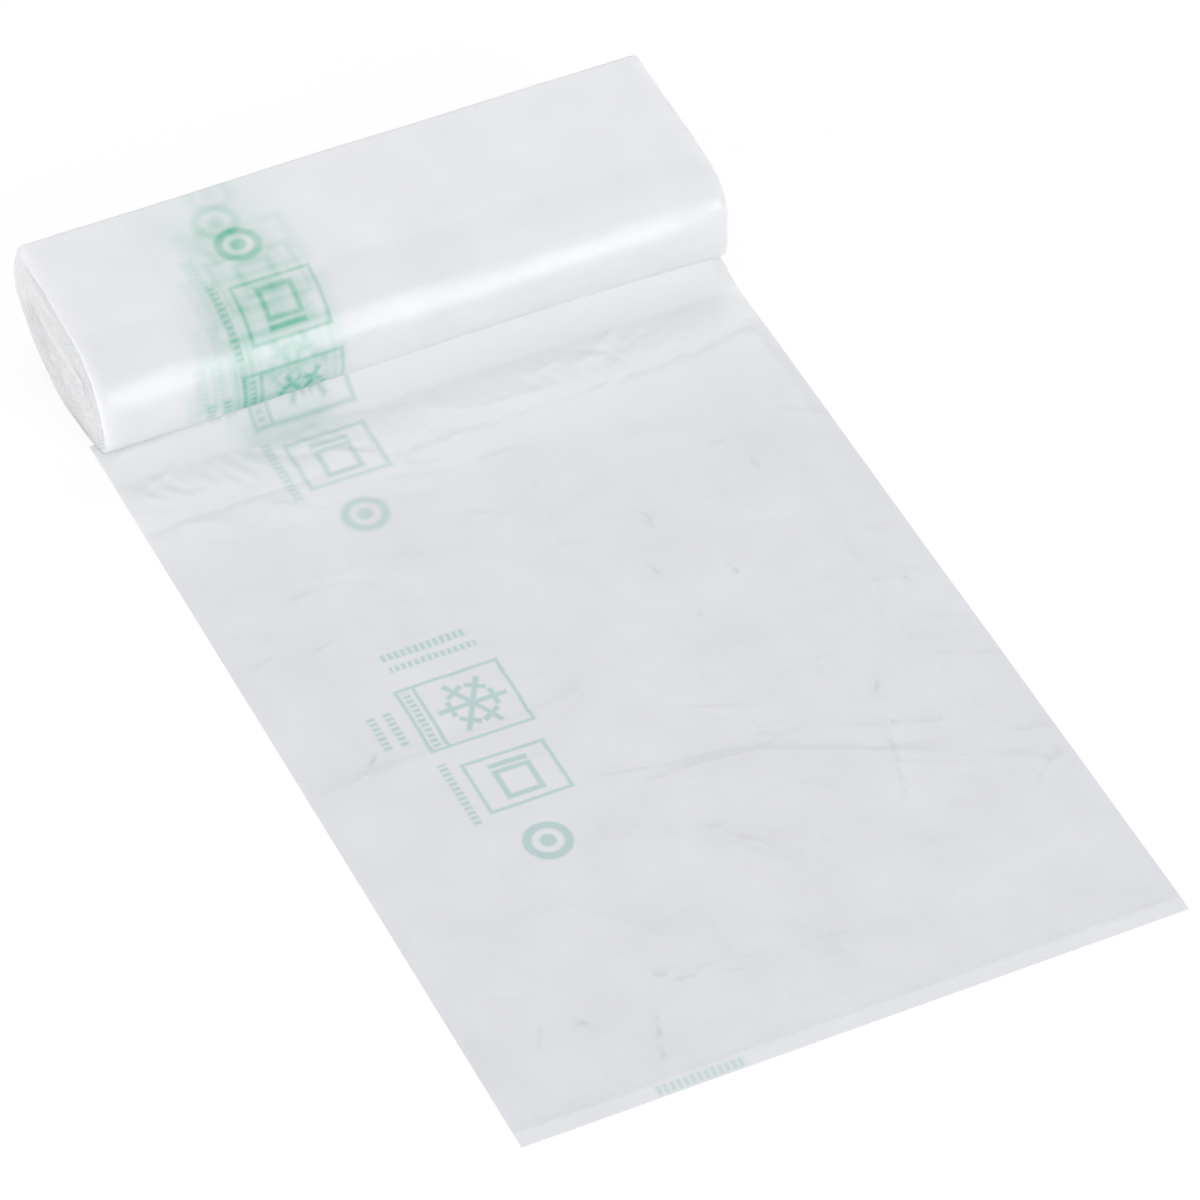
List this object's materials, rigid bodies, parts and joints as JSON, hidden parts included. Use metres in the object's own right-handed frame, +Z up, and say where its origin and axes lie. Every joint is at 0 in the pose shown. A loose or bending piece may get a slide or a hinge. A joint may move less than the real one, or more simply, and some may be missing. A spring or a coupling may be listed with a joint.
{
  "type": "roll of freezer bags",
  "caption": "Coreless roll of flat, perforated freezer bags, squashed to a soft pillow section, with its first bag pulled out flat in front.",
  "frame": {"origin": "bottom centre of the bounding box, on the surface that the roll and the pulled-out bag lie on", "axes": "+X along the roll, +Y from the free end of the pulled-out bag to the back of the roll, +Z up"},
  "size_m": [0.22, 0.384, 0.0419],
  "materials": {
    "film": "milky translucent film, soft gloss, pale green print"
  },
  "bodies": {
    "root": {"bag_roll": "film"}
  },
  "joints": []
}
